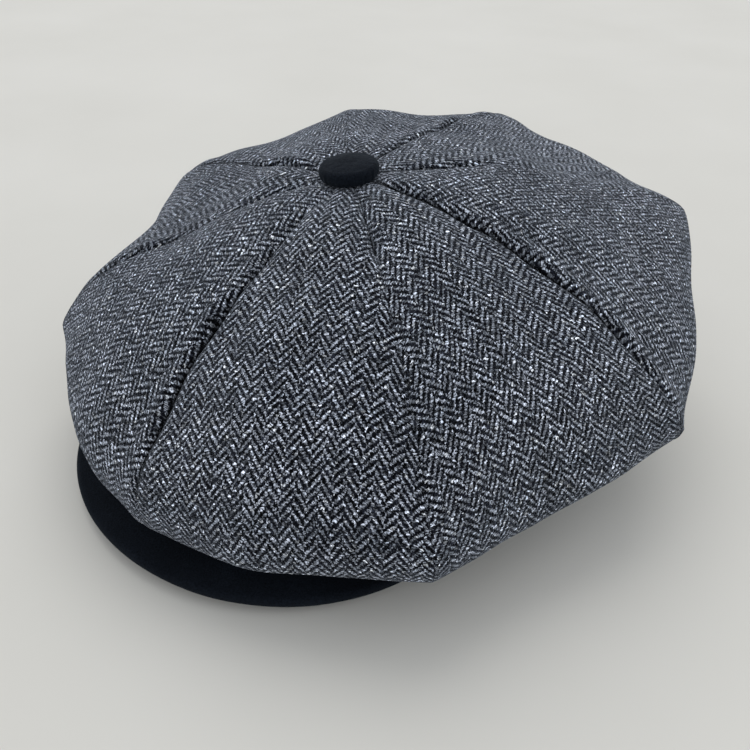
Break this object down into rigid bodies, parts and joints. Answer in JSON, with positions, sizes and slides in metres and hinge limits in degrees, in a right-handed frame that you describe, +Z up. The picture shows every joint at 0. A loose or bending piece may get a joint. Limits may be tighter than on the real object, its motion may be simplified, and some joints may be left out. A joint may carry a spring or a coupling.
{
  "type": "newsboy cap",
  "caption": "Full eight-gore newsboy cap in dark herringbone tweed, with a covered top button and a stiff black wool visor that flexes.",
  "frame": {"origin": "centre of the footprint of the whole cap's bounding box, on the table it stands on", "axes": "+Z up; the visor points to -Y; +X is the wearer's left when the cap is worn, and the fuller side of the crown"},
  "size_m": [0.2718, 0.279, 0.1134],
  "materials": {
    "tweed": "charcoal and grey wool herringbone with pale flecks, slightly hairy",
    "lining_satin": "black satin lining, soft sheen",
    "black_wool": "close black felted wool, matt",
    "canvas": "undyed stiffening canvas",
    "sweatband_leather": "thin dark leather, satin",
    "visor_board": "semi-stiff plastic board",
    "button_steel": "stamped tin-plated steel"
  },
  "bodies": {
    "cap": {"crown_gore_1": "tweed", "crown_gore_2": "tweed", "crown_gore_3": "tweed", "crown_gore_4": "tweed", "crown_gore_5": "tweed", "crown_gore_6": "tweed", "crown_gore_7": "tweed", "crown_gore_8": "tweed", "lining_gore_1": "lining_satin", "lining_gore_2": "lining_satin", "lining_gore_3": "lining_satin", "lining_gore_4": "lining_satin", "lining_gore_5": "lining_satin", "lining_gore_6": "lining_satin", "lining_gore_7": "lining_satin", "lining_gore_8": "lining_satin", "outer_band": "tweed", "band_stiffener": "canvas", "sweatband": "sweatband_leather", "crown_patch": "canvas", "button_cover": "black_wool", "button_shell": "button_steel", "button_back": "button_steel", "button_prongs": "button_steel"},
    "visor": {"visor_top_cover": "black_wool", "visor_board": "visor_board", "visor_under_cover": "black_wool"}
  },
  "joints": [
    {"name": "visor_tilt", "type": "hinge", "parent": "cap", "child": "visor", "pos_m": [-0.01068, -0.03599, 0.00975], "axis": [-1, 0, 0], "range_deg": [-1.5, 6], "stiffness_Nm_per_rad": 1.5}
  ]
}
